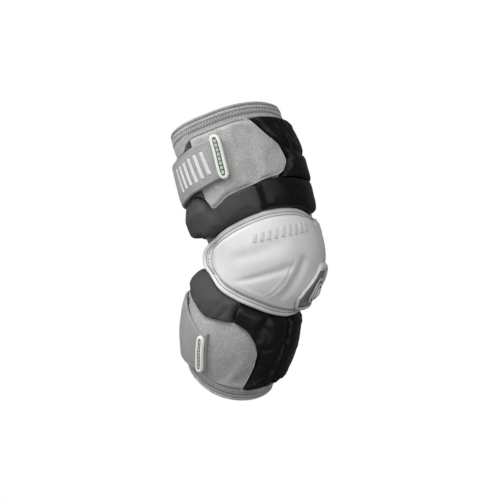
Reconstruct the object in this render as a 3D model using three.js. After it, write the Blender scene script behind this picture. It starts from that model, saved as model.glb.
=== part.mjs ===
// Lacrosse arm pad, adult size, as worn on a slightly bent arm. Millimetres, +Z up.
// The arm runs through the open sleeve. The elbow points to +X, the crook of the arm to -X,
// and the outer side with the pull tabs faces -Y. The origin is the centre of the arm at the elbow.
import * as THREE from 'three';

// Driving dimensions
const UPPER_REACH = 131;        // elbow centre to the upper rim, along the arm
const LOWER_REACH = 125;        // elbow centre to the lower rim, along the arm
const UPPER_WIDTH = 111;        // outside of the liner on the upper arm, elbow side to crook side
const ELBOW_WIDTH = 100;        // the same at the elbow
const WRIST_WIDTH = 80;         // the same at the lower rim
const FLATTENING = 0.965;       // sleeve side to side, as a share of the width above
const UPPER_LEAN = 15;          // degrees that the upper arm leans back from upright
const LOWER_LEAN = 14.6;        // degrees that the forearm leans back from upright
const BEND_RADIUS = 85;         // radius of the arm's centre line through the elbow
const RIM_SKEW = 0.21;          // how far the rims rise on the outer side, per unit of its width
const RIM_DIP = 0.12;           // how far the rims dip on the elbow side, per unit of its width

const LINER_WALL = 3.2;         // padded stretch liner
const LAYER_GAP = 0.8;          // clearance between one layer and the next
const EDGE_GAP = 0.7;           // clearance between pads that lie side by side
const BAND_HEIGHT = 13;         // stitched band below the upper rim
const LOWER_BAND_HEIGHT = 9;    // the same above the lower rim
const BAND_DROP = 8;            // how much further the upper band comes down in the crook
const BAND_WALL = 2.2;
const BINDING_HEIGHT = 3.4;     // bound edge of each rim
const PANEL_WALL = 6.4;         // grey side panels and the pads at the crook
const BLOCK_WALL = 11;          // thick black foam blocks
const STRAP_WALL = 2.4;
const TAB_LENGTH = 42;
const TAB_WIDTH = 10;
const LOWER_TAB_LENGTH = 36;
const LOWER_TAB_WIDTH = 8.6;
const TAB_WALL = 2.6;
const FLANGE_WALL = 5.2;        // stitched edge of the elbow cap
const FLANGE_WIDTH = 8.5;
const FLANGE_TAIL = 25;         // the same at the cap's two ends
const TAIL_LIFT = 4;            // how far the cap's two ends stand off the liner
const DOME_STEP = 3.6;          // step from the flange up to the dome
const DOME_RISE = 16;           // top of the dome above the liner
const CREASE_DEPTH = 1.6;       // moulded crease across each side of the dome
const CREASE_WIDTH = 3;
const FRAME_WALL = 3.6;         // frame that stands on the dome, round the medallion
const FRAME_WIDTH = 62;
const FRAME_LENGTH = 37.5;
const FRAME_BAR = 4;
const MEDALLION_DIAMETER = 24;
const MEDALLION_WALL = 3.2;

const GREY = { color: 0xa4a3a1, roughness: 0.9, metalness: 0 };
const STRAP_GREY = { color: 0x9b9996, roughness: 0.9, metalness: 0 };
const BLACK = { color: 0x1d1c1c, roughness: 0.8, metalness: 0 };
const SILVER = { color: 0xd3d3d2, roughness: 0.55, metalness: 0 };
const TAB_WHITE = { color: 0xe6e9e1, roughness: 0.5, metalness: 0 };

const RADIANS = Math.PI / 180;
const mix = (a, b, t) => a + (b - a) * t;
const clamp = (t) => Math.min(1, Math.max(0, t));
const rounded = (t) => Math.sqrt(1 - (1 - clamp(t)) ** 2);

// Smooth value of one column of a table at x; the first column holds x in rising order.
function read(table, x, column = 1) {
  const last = table.length - 1;
  if (x <= table[0][0]) return table[0][column];
  if (x >= table[last][0]) return table[last][column];
  let i = 0;
  while (table[i + 1][0] < x) i += 1;
  const slope = (j) => {
    const before = table[Math.max(j - 1, 0)];
    const after = table[Math.min(j + 1, last)];
    return (after[column] - before[column]) / (after[0] - before[0]);
  };
  const span = table[i + 1][0] - table[i][0];
  const t = (x - table[i][0]) / span;
  const t2 = t * t;
  const t3 = t2 * t;
  return (2 * t3 - 3 * t2 + 1) * table[i][column] + (t3 - 2 * t2 + t) * span * slope(i)
    + (3 * t2 - 2 * t3) * table[i + 1][column] + (t3 - t2) * span * slope(i + 1);
}

// Liner sections. Columns: share of the reach, negative below the elbow; width, elbow side to
// crook side; shift of the section's centre to the elbow side, as a share of the elbow width.
const SECTIONS = [
  [-1.05, WRIST_WIDTH * 1.00, -0.030],
  [-0.96, WRIST_WIDTH * 1.05, -0.035],
  [-0.84, WRIST_WIDTH * 1.12, -0.038],
  [-0.64, WRIST_WIDTH * 1.25, -0.062],
  [-0.40, ELBOW_WIDTH * 1.00, -0.08],
  [-0.16, ELBOW_WIDTH * 0.98, -0.03],
  [0.00, ELBOW_WIDTH * 1.00, -0.005],
  [0.15, ELBOW_WIDTH * 1.01, 0.00],
  [0.34, UPPER_WIDTH * 0.955, -0.005],
  [0.53, UPPER_WIDTH * 1.00, -0.02],
  [0.76, UPPER_WIDTH * 1.00, -0.022],
  [1.01, UPPER_WIDTH * 0.98, -0.05],
  [1.16, UPPER_WIDTH * 0.97, -0.05],
];

const reachShare = (s) => s / (s < 0 ? LOWER_REACH : UPPER_REACH);
const halfWidth = (s) => read(SECTIONS, reachShare(s), 1) / 2;

// Centre line of the arm: two straight lengths joined by an arc.
const BEND = (UPPER_LEAN + LOWER_LEAN) * RADIANS;
const MIDDLE = (UPPER_LEAN - LOWER_LEAN) * RADIANS / 2;
const HALF_ARC = BEND_RADIUS * BEND / 2;
const acrossArm = (angle) => new THREE.Vector3(Math.cos(angle), 0, Math.sin(angle));
const alongArm = (angle) => new THREE.Vector3(-Math.sin(angle), 0, Math.cos(angle));

// The point at a turn round the arm, s along it and a height above the liner.
// turn: degrees, 0 on the elbow side, 90 on the outer side, 180 in the crook, -90 on the inner side.
function place(turn, s, height) {
  const half = halfWidth(s);
  const depth = half * FLATTENING;
  const shift = read(SECTIONS, reachShare(s), 2) * ELBOW_WIDTH;
  const c = Math.cos(turn * RADIANS);
  const k = Math.sin(turn * RADIANS);
  const normal = new THREE.Vector2(c / half, k / depth).normalize();
  const out = shift + half * c + height * normal.x;
  const side = depth * k + height * normal.y;
  const slip = (RIM_SKEW * side - RIM_DIP * out) * reachShare(s);
  const onArc = Math.max(-HALF_ARC, Math.min(HALF_ARC, s));
  const angle = MIDDLE + onArc / BEND_RADIUS;
  return acrossArm(MIDDLE).multiplyScalar(-BEND_RADIUS)
    .addScaledVector(acrossArm(angle), BEND_RADIUS + out)
    .addScaledVector(alongArm(angle), s - onArc + slip)
    .add(new THREE.Vector3(0, -side, 0));
}

const armPad = new THREE.Group();
armPad.name = 'lacrosse_arm_pad';

function addPart(name, finish, corners, faces) {
  const geometry = new THREE.BufferGeometry();
  const flat = corners.flatMap((p) => [p.x, p.y, p.z]);
  geometry.setAttribute('position', new THREE.Float32BufferAttribute(flat, 3));
  geometry.setIndex(faces.flat());
  geometry.computeVertexNormals();
  const mesh = new THREE.Mesh(geometry, new THREE.MeshStandardMaterial(finish));
  mesh.name = name;
  armPad.add(mesh);
}

// Even steps that crowd a little towards both ends.
function steps(count) {
  return Array.from({ length: count + 1 }, (_, i) => {
    const even = i / count;
    return mix(even, (1 - Math.cos(Math.PI * even)) / 2, 0.45);
  });
}

// A closed piece wrapped on the arm. spot(u, v): its turn and s, u round the arm and v along it.
// under and over: heights of its underside and its face at (turn, s, u, v). flip: mirrored spot.
function wrap(name, finish, { spot, under, over, columns, rows, flip = false }) {
  const corners = [];
  const at = (i, j, face) => (i * (rows + 1) + j) * 2 + face;
  for (const u of steps(columns)) {
    for (const v of steps(rows)) {
      const [turn, s] = spot(u, v);
      corners.push(place(turn, s, under(turn, s, u, v)), place(turn, s, over(turn, s, u, v)));
    }
  }
  const faces = [];
  const quad = (a, b, c, d) => faces.push([a, b, c], [a, c, d]);
  for (let i = 0; i < columns; i += 1) {
    for (let j = 0; j < rows; j += 1) {
      quad(at(i, j, 0), at(i + 1, j, 0), at(i + 1, j + 1, 0), at(i, j + 1, 0));
      quad(at(i, j, 1), at(i, j + 1, 1), at(i + 1, j + 1, 1), at(i + 1, j, 1));
    }
    quad(at(i, 0, 0), at(i, 0, 1), at(i + 1, 0, 1), at(i + 1, 0, 0));
    quad(at(i, rows, 0), at(i + 1, rows, 0), at(i + 1, rows, 1), at(i, rows, 1));
  }
  for (let j = 0; j < rows; j += 1) {
    quad(at(0, j, 0), at(0, j + 1, 0), at(0, j + 1, 1), at(0, j, 1));
    quad(at(columns, j, 0), at(columns, j, 1), at(columns, j + 1, 1), at(columns, j + 1, 0));
  }
  if (flip) faces.forEach((face) => face.reverse());
  addPart(name, finish, corners, faces);
}

// Spot of a piece between two turns and two edges that depend on the turn.
const between = (from, to, low, high) => (u, v) => {
  const turn = mix(from, to, u);
  return [turn, mix(low(turn), high(turn), v)];
};

// Spot of a piece whose side edges depend on how far up it lies, v from 0 to 1.
const betweenSides = (from, to, low, high) => (u, v) => {
  const turn = mix(from(v), to(v), u);
  return [turn, mix(low(turn), high(turn), v)];
};

// A sewn pad on the liner: thin at its edges and full inside, rounded over a soft width.
function pad(name, finish, { spot, wall, softness, edge = 0.4, ...rest }) {
  const over = (turn, s, u, v) => {
    const [left, right] = [spot(0, v)[0], spot(1, v)[0]];
    const arc = Math.abs(right - left) * RADIANS * halfWidth(s);
    const tall = spot(u, 1)[1] - spot(u, 0)[1];
    const sideways = rounded(Math.min(u, 1 - u) * arc / softness);
    const upright = rounded(Math.min(v, 1 - v) * tall / softness);
    return LAYER_GAP + wall * mix(edge, 1, sideways * upright);
  };
  wrap(name, finish, { spot, under: () => LAYER_GAP, over, ...rest });
}

// A closed ring round the arm from a section of [offset along, height] corners at edge(turn).
// stretch(turn) lengthens the section.
function ring(name, finish, edge, section, columns, stretch = () => 1) {
  const corners = [];
  const faces = [];
  const count = section.length;
  for (let i = 0; i < columns; i += 1) {
    const turn = 360 * i / columns;
    for (const [offset, height] of section) {
      corners.push(place(turn, edge(turn) + offset * stretch(turn), height));
    }
    const next = (i + 1) % columns;
    for (let j = 0; j < count; j += 1) {
      const after = (j + 1) % count;
      const [a, b, c, d] = [i * count + j, next * count + j, next * count + after, i * count + after];
      faces.push([a, c, b], [a, d, c]);
    }
  }
  addPart(name, finish, corners, faces);
}

// A small plate on the arm round the point (turn, s). rings: outlines of [across, along] points from
// the rim inwards, each with its height over the underside. A last outline of one point closes the plate.
function plate(name, finish, { turn, s, rings, under }) {
  const corners = [];
  const faces = [];
  const put = ([x, y], height) => {
    const level = s + y;
    const spin = turn + x / (halfWidth(level) + under(turn, level)) / RADIANS;
    const low = under(spin, level);
    corners.push(place(spin, level, low), place(spin, level, low + height));
  };
  const closed = rings.at(-1).outline.length === 1;
  const loops = closed ? rings.slice(0, -1) : rings;
  const count = loops[0].outline.length;
  for (const { outline, height } of loops) outline.forEach((point) => put(point, height));
  const at = (k, j, face) => (k * count + (j % count)) * 2 + face;
  const quad = (a, b, c, d) => faces.push([a, b, c], [a, c, d]);
  const k = loops.length - 1;
  for (let j = 0; j < count; j += 1) {
    for (let i = 0; i < k; i += 1) {
      quad(at(i, j, 1), at(i + 1, j, 1), at(i + 1, j + 1, 1), at(i, j + 1, 1));
      quad(at(i, j, 0), at(i, j + 1, 0), at(i + 1, j + 1, 0), at(i + 1, j, 0));
    }
    quad(at(0, j, 0), at(0, j, 1), at(0, j + 1, 1), at(0, j + 1, 0));
    if (!closed) quad(at(k, j, 0), at(k, j + 1, 0), at(k, j + 1, 1), at(k, j, 1));
  }
  if (closed) {
    const middle = corners.length;
    put(rings.at(-1).outline[0], rings.at(-1).height);
    for (let j = 0; j < count; j += 1) {
      faces.push([at(k, j, 0), at(k, j + 1, 0), middle], [at(k, j + 1, 1), at(k, j, 1), middle + 1]);
    }
  }
  addPart(name, finish, corners, faces);
}

// Distance round the arm from the elbow side, 0 to 180 degrees, the same on both sides.
const fold = (turn) => Math.abs(((turn + 180) % 360 + 360) % 360 - 180);

// Rims of the sleeve. Columns: turn from the elbow side; upper and lower rim, shares of the reach.
const RIMS = [
  [0, 1.105, -1.045],
  [35, 1.065, -1.045],
  [62, 1.02, -1.03],
  [90, 0.975, -0.995],
  [120, 0.955, -0.935],
  [150, 0.955, -0.885],
  [180, 0.96, -0.875],
];
const upperRim = (turn) => UPPER_REACH * read(RIMS, fold(turn), 1);
const lowerRim = (turn) => LOWER_REACH * read(RIMS, fold(turn), 2);
const upperBandHeight = (turn) => BAND_HEIGHT + BAND_DROP * clamp((fold(turn) - 112) / 16);
const underUpperBand = (turn) => upperRim(turn) - upperBandHeight(turn) - EDGE_GAP;
const overLowerBand = (turn) => lowerRim(turn) + LOWER_BAND_HEIGHT + EDGE_GAP;

// Grey side panels. Columns: turn; lower and upper edge, shares of the reach.
const UPPER_PANEL = [
  [23.5, 0.63, 0.655],
  [29, 0.565, 0.765],
  [36, 0.530, 0.805],
  [42, 0.518, 0.855],
  [50, 0.505, 0.925],
  [62, 0.475, 0.955],
  [76, 0.450, 0.935],
  [90, 0.425, 0.910],
  [100, 0.390, 0.895],
  [109, 0.376, 0.885],
  [112.5, 0.440, 0.880],
];
const LOWER_PANEL = [
  [49.5, -0.770, -0.670],
  [52, -0.850, -0.605],
  [57, -0.975, -0.555],
  [66, -0.975, -0.490],
  [74, -0.965, -0.466],
  [90, -0.925, -0.462],
  [107, -0.885, -0.462],
  [125, -0.860, -0.415],
  [150, -0.840, -0.345],
];
const upperPanelLow = (turn) => UPPER_REACH * read(UPPER_PANEL, fold(turn), 1);
const upperPanelHigh = (turn) =>
  Math.min(UPPER_REACH * read(UPPER_PANEL, fold(turn), 2), underUpperBand(turn));
const lowerPanelLow = (turn) =>
  Math.max(LOWER_REACH * read(LOWER_PANEL, fold(turn), 1), overLowerBand(turn));
const lowerPanelHigh = (turn) => LOWER_REACH * read(LOWER_PANEL, fold(turn), 2);
const [UPPER_PANEL_FRONT, UPPER_PANEL_BACK] = [UPPER_PANEL[0][0], UPPER_PANEL.at(-1)[0]];

// Lower edge of the pad at the crook, behind the side panels. Columns: turn; share of the reach.
const UPPER_CROOK = [
  [112.5, 0.44],
  [122, 0.475],
  [180, 0.48],
];
const upperPadsLow = (turn) => (fold(turn) > UPPER_PANEL_BACK
  ? UPPER_REACH * read(UPPER_CROOK, fold(turn)) : upperPanelLow(turn));
const [LOWER_PANEL_FRONT, LOWER_PANEL_BACK] = [LOWER_PANEL[0][0], LOWER_PANEL.at(-1)[0]];

// Elbow cap. Columns: turn; lower and upper edge, shares of the reach; dome, share of its rise.
const CAP = [
  [0, -0.372, 0.220, 0.92],
  [12, -0.375, 0.250, 0.93],
  [24, -0.376, 0.272, 0.96],
  [45, -0.355, 0.285, 0.98],
  [62, -0.328, 0.280, 0.95],
  [83, -0.298, 0.255, 0.86],
  [105, -0.258, 0.220, 0.70],
  [122, -0.200, 0.183, 0.56],
  [138, -0.140, 0.140, 0.50],
  [150, -0.085, 0.085, 0.50],
];
const CAP_END = CAP.at(-1)[0];
const capLow = (turn) => LOWER_REACH * read(CAP, fold(turn), 1);
const capHigh = (turn) => UPPER_REACH * read(CAP, fold(turn), 2);

// The cap's two ends stand off the liner a little.
const tailLift = (turn) => TAIL_LIFT * clamp((fold(turn) - 112) / 34);

// Crease across the side of the dome. Columns: turn; s as a share of the lower reach.
const CREASE = [
  [40, -0.024],
  [62, -0.064],
  [77, -0.104],
  [92, -0.160],
];

function capTop(turn, s) {
  const toEnd = (CAP_END - fold(turn)) * RADIANS * halfWidth(s) * FLANGE_WIDTH / FLANGE_TAIL;
  const toEdge = Math.min(s - capLow(turn), capHigh(turn) - s);
  const inside = Math.min(toEnd, toEdge) - FLANGE_WIDTH;
  const half = (capHigh(turn) - capLow(turn)) / 2 - FLANGE_WIDTH;
  const step = DOME_STEP * clamp(inside / DOME_STEP + 0.5);
  const bulge = Math.sin(clamp(inside / half) * Math.PI / 2);
  const peak = DOME_RISE * read(CAP, fold(turn), 3) - FLANGE_WALL - DOME_STEP;
  const creaseLength = clamp((fold(turn) - 36) / 8) * clamp((98 - fold(turn)) / 8);
  const away = (s - LOWER_REACH * read(CREASE, fold(turn))) / CREASE_WIDTH;
  return tailLift(turn) + FLANGE_WALL + step + Math.max(0, peak) * bulge
    - CREASE_DEPTH * creaseLength * Math.exp(-away * away);
}

const ROUND = 32;

// The padded stretch sleeve, in three lengths that are sewn end to end.
const ELBOW_LINER = [LOWER_REACH * -0.3, UPPER_REACH * 0.27];

function linerLength(name, low, high, levels) {
  const outside = Array.from({ length: levels + 1 }, (_, j) => [j / levels, 0]);
  const inside = outside.map(([v]) => [1 - v, -LINER_WALL]);
  const corners = [];
  const faces = [];
  const loop = [...outside, ...inside];
  const count = loop.length;
  for (let i = 0; i < ROUND; i += 1) {
    const turn = 360 * i / ROUND;
    for (const [v, height] of loop) corners.push(place(turn, mix(low(turn), high(turn), v), height));
    const next = (i + 1) % ROUND;
    for (let j = 0; j < count; j += 1) {
      const after = (j + 1) % count;
      const [a, b, c, d] = [i * count + j, next * count + j, next * count + after, i * count + after];
      faces.push([a, c, b], [a, d, c]);
    }
  }
  addPart(name, GREY, corners, faces);
}

function liner() {
  const [low, high] = ELBOW_LINER;
  const seam = 0.3;
  linerLength('forearm_liner', lowerRim, () => low - seam / 2, 5);
  linerLength('elbow_liner', () => low + seam / 2, () => high - seam / 2, 5);
  linerLength('upper_arm_liner', () => high + seam / 2, upperRim, 6);
}

// Stitched bands just inside the rims, and the bound edges beyond them.
function bandsAndBindings() {
  const low = LAYER_GAP;
  const high = LAYER_GAP + BAND_WALL;
  const band = (from, to) => [[from, low], [from, high], [to, high], [to, low]];
  const stretch = (turn) => upperBandHeight(turn) / BAND_HEIGHT;
  ring('upper_band', GREY, upperRim, band(-BAND_HEIGHT, -EDGE_GAP / 2), ROUND, stretch);
  ring('lower_band', GREY, lowerRim, band(EDGE_GAP / 2, LOWER_BAND_HEIGHT), ROUND);
  const binding = (sign) => [
    [sign * LAYER_GAP, -LINER_WALL],
    [sign * LAYER_GAP, high],
    [sign * (LAYER_GAP + BINDING_HEIGHT * 0.7), high],
    [sign * (LAYER_GAP + BINDING_HEIGHT), mix(-LINER_WALL, high, 0.7)],
    [sign * (LAYER_GAP + BINDING_HEIGHT), mix(-LINER_WALL, high, 0.3)],
    [sign * (LAYER_GAP + BINDING_HEIGHT * 0.7), -LINER_WALL],
  ];
  ring('upper_rim_binding', GREY, upperRim, binding(1), ROUND);
  ring('lower_rim_binding', GREY, lowerRim, binding(-1).reverse(), ROUND);
}

// Both sides of the arm: 1 is the outer side, -1 the inner side.
const SIDES = [['lateral', 1], ['medial', -1]];

function sidePanels() {
  for (const [side, sign] of SIDES) {
    const common = { wall: PANEL_WALL, softness: 6, flip: sign < 0 };
    const upper = between(sign * UPPER_PANEL_FRONT, sign * UPPER_PANEL_BACK, upperPanelLow, upperPanelHigh);
    pad(`upper_side_panel_${side}`, GREY, { spot: upper, columns: 14, rows: 5, ...common });
    const lower = between(sign * LOWER_PANEL_FRONT, sign * LOWER_PANEL_BACK, lowerPanelLow, lowerPanelHigh);
    pad(`lower_side_panel_${side}`, GREY, { spot: lower, columns: 14, rows: 4, ...common });
  }
}

// Black foam above the elbow cap.
const MIDDLE_SEAM = UPPER_REACH * 0.72;
const TIP_MARGIN = 2;           // degrees that the roll stays clear of the panel's sharp tip
const rollTop = (turn) => Math.min(UPPER_REACH * 0.505, upperPadsLow(turn - TIP_MARGIN),
  upperPadsLow(turn), upperPadsLow(turn + TIP_MARGIN)) - EDGE_GAP;

// Lower edge of the roll past the cap's flange. Columns: turn; share of the upper reach.
const ROLL_BACK = [
  [108, 0],
  [123, 0.19],
  [146, 0.22],
  [180, 0.25],
];
const rollLow = (turn) => Math.max(capHigh(turn) + EDGE_GAP, UPPER_REACH * read(ROLL_BACK, fold(turn)));

// Side edges of the upper blocks, from their lower to their upper edge. Columns: share; turn.
const MIDDLE_BLOCK_SIDES = [
  [0, 36],
  [0.18, 31],
  [0.4, 26],
  [0.62, 21.5],
  [0.8, 20.5],
  [1, 21.5],
];
const TOP_BLOCK_SIDES = [
  [0, 24],
  [0.2, 29],
  [0.45, 37.5],
  [0.75, 44.5],
  [1, 49.5],
];

function upperBlocks() {
  const topSide = (v) => read(TOP_BLOCK_SIDES, v);
  const middleSide = (v) => read(MIDDLE_BLOCK_SIDES, v);
  const top = betweenSides((v) => -topSide(v), topSide, () => MIDDLE_SEAM + EDGE_GAP, underUpperBand);
  const middle = betweenSides((v) => -middleSide(v), middleSide,
    () => rollTop(0) + EDGE_GAP, () => MIDDLE_SEAM);
  const common = { wall: BLOCK_WALL, softness: 9 };
  pad('upper_pad_top', BLACK, { spot: top, columns: 12, rows: 6, ...common });
  pad('upper_pad_middle', BLACK, { spot: middle, columns: 10, rows: 5, ...common });
}

const ROLL_FRONT = 60.5;        // turns at the ends of the roll's three blocks
const ROLL_SIDE = 103.5;
const BLOCK_SPLIT = 1.2;        // half the turn between neighbouring blocks
const CROOK_END = 177;

function elbowRoll() {
  const common = { wall: BLOCK_WALL, softness: 7.5 };
  const front = between(-ROLL_FRONT, ROLL_FRONT, rollLow, rollTop);
  pad('elbow_roll_outer', BLACK, { spot: front, columns: 14, rows: 6, ...common });
  for (const [side, sign] of SIDES) {
    const flip = sign < 0;
    const flank = between(sign * (ROLL_FRONT + BLOCK_SPLIT), sign * (ROLL_SIDE - BLOCK_SPLIT),
      rollLow, rollTop);
    pad(`elbow_roll_${side}`, BLACK, { spot: flank, columns: 6, rows: 5, flip, ...common });
    const back = between(sign * (ROLL_SIDE + BLOCK_SPLIT), sign * CROOK_END, rollLow, rollTop);
    pad(`elbow_roll_back_${side}`, BLACK, { spot: back, columns: 9, rows: 5, flip, ...common });
  }
}

function crookPads() {
  const common = { wall: PANEL_WALL, softness: 6 };
  const gap = 1;
  const upper = between(UPPER_PANEL_BACK + gap, 360 - UPPER_PANEL_BACK - gap, upperPadsLow, underUpperBand);
  pad('upper_crook_pad', BLACK, { spot: upper, columns: 14, rows: 4, ...common });
  const lower = between(LOWER_PANEL_BACK + gap, 360 - LOWER_PANEL_BACK - gap, lowerPanelLow, lowerPanelHigh);
  pad('lower_crook_pad', GREY, { spot: lower, columns: 8, rows: 4, ...common });
}

// Upper edge of the collar past the cap's flange. Columns: turn; share of the lower reach.
const COLLAR_BACK = [
  [112, 0],
  [128, -0.15],
  [143, -0.18],
  [180, -0.20],
];
const COLLAR_FRONT = 79.5;
const collarTop = (turn) => Math.min(capLow(turn) - EDGE_GAP, LOWER_REACH * read(COLLAR_BACK, fold(turn)));
const collarLow = (turn) => lowerPanelHigh(turn) + EDGE_GAP;

// Outer edge of the forearm pad beside the side panel, from bottom to top. Columns: share; turn.
const FOREARM_SIDE = [
  [0, 54.5],
  [0.2, 49.5],
  [0.35, 47.2],
  [0.5, 47.7],
  [0.63, 51.7],
  [0.74, 61],
  [0.82, 72],
  [1, 77],
];
const FOREARM_SPLIT = 18.5;     // turn of the channel beside the middle pad

function forearmPads() {
  const common = { wall: BLOCK_WALL, softness: 9 };
  const low = overLowerBand;
  const high = (turn) => capLow(turn) - EDGE_GAP;
  const middle = between(-FOREARM_SPLIT + BLOCK_SPLIT, FOREARM_SPLIT - BLOCK_SPLIT, low, high);
  pad('forearm_pad_middle', BLACK, { spot: middle, columns: 6, rows: 8, ...common });
  for (const [side, sign] of SIDES) {
    const flip = sign < 0;
    const flank = betweenSides(() => sign * (FOREARM_SPLIT + BLOCK_SPLIT),
      (v) => sign * read(FOREARM_SIDE, v), low, high);
    pad(`forearm_pad_${side}`, BLACK, { spot: flank, columns: 7, rows: 10, flip, ...common });
    const collar = between(sign * COLLAR_FRONT, sign * CROOK_END, collarLow, collarTop);
    pad(`forearm_collar_${side}`, BLACK, { spot: collar, columns: 12, rows: 4, flip, ...common });
  }
}

function elbowCap() {
  const spot = between(-CAP_END, CAP_END, capLow, capHigh);
  const under = (turn) => LAYER_GAP + tailLift(turn);
  wrap('elbow_cap', SILVER, { spot, under, over: capTop, columns: 32, rows: 13 });
}

// The frame and medallion at the point of the elbow.
const FRAME_LEVEL = -0.174;      // share of the lower reach
const MEDALLION_SLOPE = 0.85;   // length along the liner of the round plate, as the dome falls away below

const SEAT_MARGIN = 2.5;
const onCap = (turn, s) => Math.max(capTop(turn, s), capTop(turn, s + SEAT_MARGIN)) + LAYER_GAP;

// Outline of the frame. Columns: share of the way from its middle to an end, negative below; half
// width at that level, as a share.
const KITE = [
  [-1, 0.72],
  [-0.8, 0.80],
  [-0.3, 0.98],
  [-0.1, 1.0],
  [0.2, 0.90],
  [0.5, 0.68],
  [0.85, 0.48],
  [1, 0.44],
];
const END_CUT = 0.74;           // where the frame's opening ends, as a share of its length

// Points of the outline, drawn in by an inset, with its ends cut off flat.
function kite(inset, cut, count) {
  const limit = FRAME_LENGTH / 2 * cut;
  return Array.from({ length: count }, (_, i) => {
    const angle = 2 * Math.PI * (i + 0.5) / count;
    const [c, k] = [Math.cos(angle), Math.sin(angle)];
    const reach = (Math.abs(c) ** 6 + Math.abs(k) ** 6) ** (-1 / 6);
    const across = FRAME_WIDTH / 2 * read(KITE, k * reach) * c * reach;
    const drawn = across - Math.sign(across) * Math.min(Math.abs(across), inset);
    return [drawn, Math.max(-limit, Math.min(limit, FRAME_LENGTH / 2 * k * reach))];
  });
}

function capFrame() {
  const seat = { turn: 0, s: LOWER_REACH * FRAME_LEVEL, under: onCap };
  const outer = kite(0, 1, 32);
  const inner = kite(FRAME_BAR, END_CUT, 32);
  const part = (share) => outer.map(([x, y], i) => [mix(x, inner[i][0], share), mix(y, inner[i][1], share)]);
  plate('elbow_cap_frame', SILVER, { ...seat, rings: [
    { outline: outer, height: FRAME_WALL * 0.5 },
    { outline: part(0.35), height: FRAME_WALL },
    { outline: part(0.75), height: FRAME_WALL },
    { outline: inner, height: FRAME_WALL * 0.5 },
  ] });
  const disc = (share) => Array.from({ length: 20 }, (_, i) => {
    const angle = Math.PI * i / 10;
    const radius = MEDALLION_DIAMETER / 2 * share;
    return [radius * Math.cos(angle), radius * MEDALLION_SLOPE * Math.sin(angle)];
  });
  plate('elbow_medallion', SILVER, { ...seat, rings: [
    { outline: disc(1), height: MEDALLION_WALL * 0.7 },
    { outline: disc(0.86), height: MEDALLION_WALL },
    { outline: disc(0.5), height: MEDALLION_WALL },
    { outline: [[0, 0]], height: MEDALLION_WALL },
  ] });
}

// Straps round the crook. Columns: turn; lower and upper edge, shares of the reach.
const UPPER_STRAP = [
  [79.5, 0.545, 0.805],
  [97, 0.525, 0.795],
  [109, 0.505, 0.785],
  [122, 0.495, 0.765],
  [140, 0.475, 0.755],
  [180, 0.470, 0.750],
];
const LOWER_STRAP = [
  [99.5, -0.850, -0.560],
  [109, -0.850, -0.575],
  [120, -0.845, -0.530],
  [133, -0.840, -0.480],
  [152, -0.830, -0.410],
  [180, -0.830, -0.390],
];
const STRAP_SEAT = LAYER_GAP + PANEL_WALL + LAYER_GAP;
const TAB_SEAT = STRAP_SEAT + STRAP_WALL + LAYER_GAP;
const UPPER_TAB = { turn: 84.6, level: UPPER_REACH * 0.672 };
const LOWER_TAB = { turn: 104.6, level: LOWER_REACH * -0.716 };

function stadium(width, length, arcSteps, sideSteps) {
  const r = width / 2;
  const half = length / 2 - r;
  const outline = [];
  for (const end of [1, -1]) {
    for (let i = 0; i <= arcSteps; i += 1) {
      const angle = Math.PI * i / arcSteps;
      outline.push([end * r * Math.cos(angle), end * (half + r * Math.sin(angle))]);
    }
    for (let i = 1; i < sideSteps; i += 1) outline.push([-end * r, end * mix(half, -half, i / sideSteps)]);
  }
  return outline;
}

function strapsAndTabs() {
  const strap = (name, table, reach, columns) => {
    const from = table[0][0];
    const low = (turn) => reach * read(table, fold(turn), 1);
    const high = (turn) => reach * read(table, fold(turn), 2);
    wrap(name, STRAP_GREY, { spot: between(from, 360 - from, low, high), under: () => STRAP_SEAT,
      over: () => STRAP_SEAT + STRAP_WALL, columns, rows: 4 });
  };
  strap('upper_strap', UPPER_STRAP, UPPER_REACH, 24);
  strap('lower_strap', LOWER_STRAP, LOWER_REACH, 22);
  const tab = (name, { turn, level }, width, length) => {
    const rings = [
      { outline: stadium(width, length, 6, 4), height: TAB_WALL * 0.6 },
      { outline: stadium(width * 0.75, length * 0.9, 6, 4), height: TAB_WALL },
      { outline: [[0, 0]], height: TAB_WALL },
    ];
    plate(name, TAB_WHITE, { turn, s: level, under: () => TAB_SEAT, rings });
  };
  tab('upper_pull_tab', UPPER_TAB, TAB_WIDTH, TAB_LENGTH);
  tab('lower_pull_tab', LOWER_TAB, LOWER_TAB_WIDTH, LOWER_TAB_LENGTH);
}

liner();
bandsAndBindings();
sidePanels();
upperBlocks();
elbowRoll();
crookPads();
forearmPads();
elbowCap();
capFrame();
strapsAndTabs();

export default armPad;
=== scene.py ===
"""Lacrosse arm pad for an adult: stretch sleeve, foam blocks, side panels, moulded elbow cap, straps."""
import math
from itertools import chain, cycle, repeat

import bmesh
import bpy
from mathutils import Matrix, Vector, noise


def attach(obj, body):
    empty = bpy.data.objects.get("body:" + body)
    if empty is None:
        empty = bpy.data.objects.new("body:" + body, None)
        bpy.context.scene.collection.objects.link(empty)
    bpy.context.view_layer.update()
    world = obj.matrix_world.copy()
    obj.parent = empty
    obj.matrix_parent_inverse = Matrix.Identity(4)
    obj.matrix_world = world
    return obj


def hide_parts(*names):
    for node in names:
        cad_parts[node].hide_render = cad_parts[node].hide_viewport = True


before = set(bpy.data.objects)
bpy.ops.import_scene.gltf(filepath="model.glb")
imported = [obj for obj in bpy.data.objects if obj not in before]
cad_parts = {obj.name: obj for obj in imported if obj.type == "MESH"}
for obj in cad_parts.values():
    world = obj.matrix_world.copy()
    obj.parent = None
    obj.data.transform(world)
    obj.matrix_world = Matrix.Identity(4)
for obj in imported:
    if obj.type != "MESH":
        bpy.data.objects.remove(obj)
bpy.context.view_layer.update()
BODY = "root"
MM = 0.001
RAD = math.pi / 180

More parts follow.
